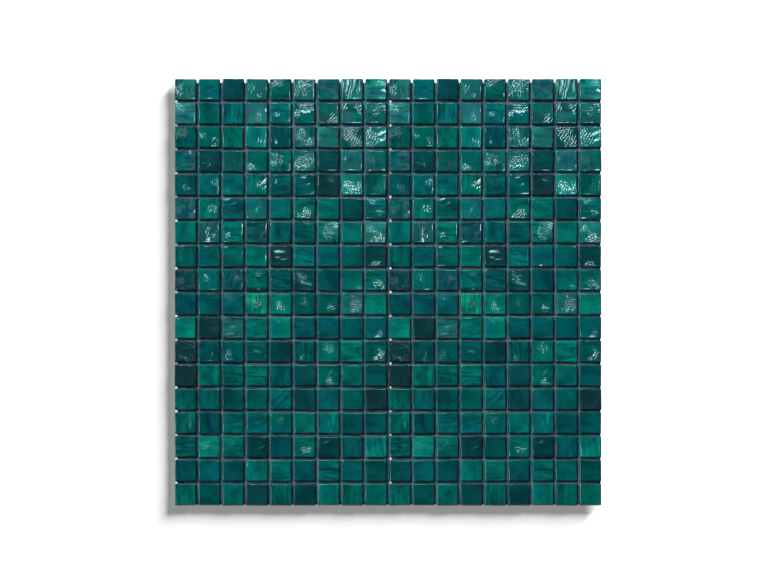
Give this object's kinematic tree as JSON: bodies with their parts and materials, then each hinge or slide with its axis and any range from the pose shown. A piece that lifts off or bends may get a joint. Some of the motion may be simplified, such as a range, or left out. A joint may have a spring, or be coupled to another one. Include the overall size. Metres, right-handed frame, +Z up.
{
  "type": "mosaic tile sheet",
  "caption": "Square sheet of small square glass tesserae in a blend of blue-greens, set face up in rows on a backing mesh, for bonding to a wall or floor.",
  "frame": {"origin": "middle of the sheet's underside, on the underside of the left backing strip", "axes": "+Z up through the glass, +Y towards the sheet's top row, +X along the rows to the right"},
  "size_m": [0.2942, 0.2942, 0.0045],
  "materials": {
    "viridian_glass": "opaque blue-green glass, fire-polished with chill wrinkles",
    "teal_glass": "opaque teal glass, fire-polished with chill wrinkles",
    "petrol_glass": "opaque dark blue-green glass, fire-polished with chill wrinkles",
    "emerald_glass": "opaque green glass, fire-polished with chill wrinkles",
    "sea_green_glass": "opaque greyed green glass, strongly wrinkled",
    "bottle_green_glass": "opaque dark green glass, fire-polished",
    "jade_glass": "opaque bright green glass with fine streaks",
    "smoke_glass": "opaque near-black green-brown glass, strongly wrinkled",
    "backing_mesh": "open woven glass-fibre mesh in a thin coat of grey adhesive"
  },
  "bodies": {
    "root": {"viridian_tesserae": "viridian_glass", "teal_tesserae": "teal_glass", "petrol_tesserae": "petrol_glass", "emerald_tesserae": "emerald_glass", "sea_green_tesserae": "sea_green_glass", "bottle_green_tesserae": "bottle_green_glass", "jade_tesserae": "jade_glass", "smoke_tesserae": "smoke_glass", "left_backing_mesh": "backing_mesh", "right_backing_mesh": "backing_mesh"}
  },
  "joints": []
}
